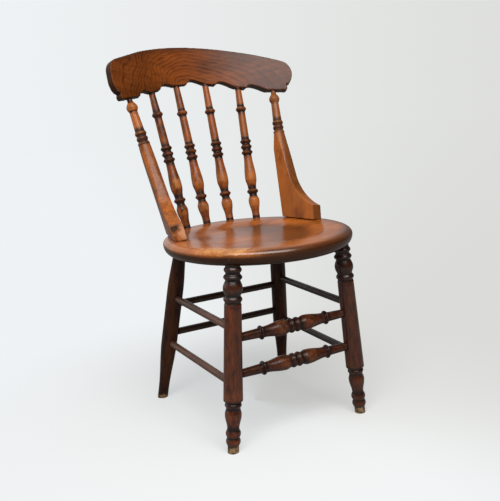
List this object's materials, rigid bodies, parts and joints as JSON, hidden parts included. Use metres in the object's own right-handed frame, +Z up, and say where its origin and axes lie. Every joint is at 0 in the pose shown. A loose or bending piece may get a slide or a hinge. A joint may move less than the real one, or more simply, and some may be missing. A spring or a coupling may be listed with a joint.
{
  "type": "round-seat spindle-back kitchen chair in worn stained wood",
  "caption": "Spindle-back side chair: round dished seat, bent scalloped crest rail, shaped back posts, turned front legs and stretchers; worn dark stain and polish.",
  "frame": {"origin": "on the floor, under the middle of the whole chair's bounding box", "axes": "+X to the right as seen from the front, +Y towards the back, +Z up"},
  "size_m": [0.51, 0.582, 0.9019],
  "materials": {
    "seat_wood": "stained and polished elm, rubbed paler and glossy where sat on",
    "crest_wood": "stained and polished elm with strong flowing grain",
    "post_wood": "stained and polished, chipped pale at one foot",
    "spindle_wood": "turned, stained, dark polish in the grooves",
    "front_leg_wood": "turned, dark red-brown stain, bare worn feet",
    "rear_leg_wood": "near-black brown stain, bare worn feet",
    "front_stretcher_wood": "turned, dark stain rubbed brown on the swells",
    "plain_stretcher_wood": "dark stain, dull and rubbed grey-brown on top"
  },
  "bodies": {
    "root": {"seat": "seat_wood", "crest_rail": "crest_wood", "back_post_left": "post_wood", "back_post_right": "post_wood", "back_spindle_1": "spindle_wood", "back_spindle_2": "spindle_wood", "back_spindle_3": "spindle_wood", "back_spindle_4": "spindle_wood", "front_leg_left": "front_leg_wood", "front_leg_right": "front_leg_wood", "rear_leg_left": "rear_leg_wood", "rear_leg_right": "rear_leg_wood", "front_stretcher_upper": "front_stretcher_wood", "front_stretcher_lower": "front_stretcher_wood", "left_stretcher_upper": "plain_stretcher_wood", "left_stretcher_lower": "plain_stretcher_wood", "right_stretcher_upper": "plain_stretcher_wood", "right_stretcher_lower": "plain_stretcher_wood", "rear_stretcher_upper": "plain_stretcher_wood", "rear_stretcher_lower": "plain_stretcher_wood"}
  },
  "joints": []
}
